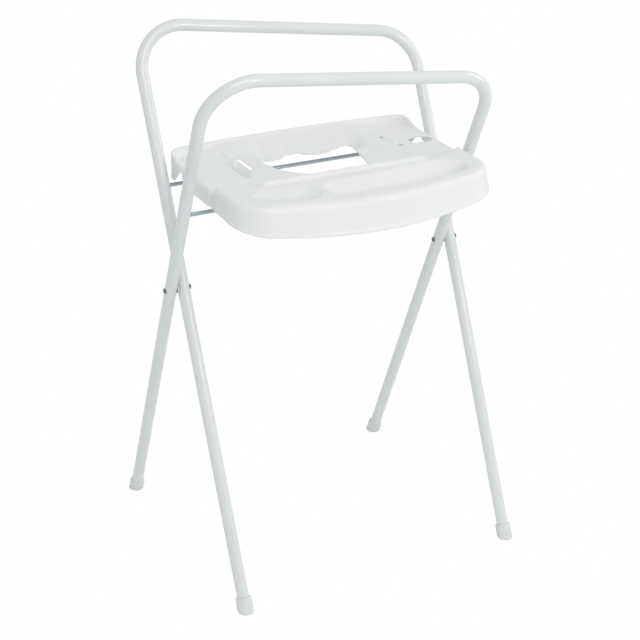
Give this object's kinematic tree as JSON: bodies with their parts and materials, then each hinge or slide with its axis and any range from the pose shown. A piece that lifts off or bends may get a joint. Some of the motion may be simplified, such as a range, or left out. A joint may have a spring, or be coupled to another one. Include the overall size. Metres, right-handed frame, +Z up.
{
  "type": "folding baby bath stand",
  "caption": "Folding stand for a baby bath: crossed white tube frames on side pivots, slim cross rods and a moulded white tray that tips up as the frames close.",
  "frame": {"origin": "on the floor under the middle of the stand's box, with the stand open", "axes": "+X to the right along the handle bars, +Y to the back, +Z up"},
  "size_m": [0.6123, 0.5414, 0.9782],
  "materials": {
    "tube_white": "gloss",
    "rod_zinc": "satin",
    "bolt_zinc": "satin",
    "spacer_steel": "satin",
    "cap_white": "satin",
    "tray_white": "gloss"
  },
  "bodies": {
    "rear_frame": {"rear_handle_frame": "tube_white", "rear_cross_rod": "rod_zinc", "front_left_foot": "cap_white", "front_right_foot": "cap_white", "left_pivot_bolt": "bolt_zinc", "right_pivot_bolt": "bolt_zinc", "left_pivot_nut": "bolt_zinc", "right_pivot_nut": "bolt_zinc", "left_pivot_spacer": "spacer_steel", "right_pivot_spacer": "spacer_steel"},
    "front_frame": {"front_handle_frame": "tube_white", "front_cross_rod": "rod_zinc", "back_left_foot": "cap_white", "back_right_foot": "cap_white"},
    "tray": {"bath_tray": "tray_white"}
  },
  "joints": [
    {"name": "fold", "type": "hinge", "parent": "rear_frame", "child": "front_frame", "pos_m": [0, 0.00634, 0.54281], "axis": [-1, 0, 0], "range_deg": [0, 44]},
    {"name": "tray_tip", "type": "hinge", "parent": "front_frame", "child": "tray", "pos_m": [0, -0.07067, 0.71102], "axis": [1, 0, 0], "range_deg": [0, 110]}
  ],
  "couplings": [
    {"joint": "tray_tip", "follows": "fold", "ratio": 2.49}
  ]
}
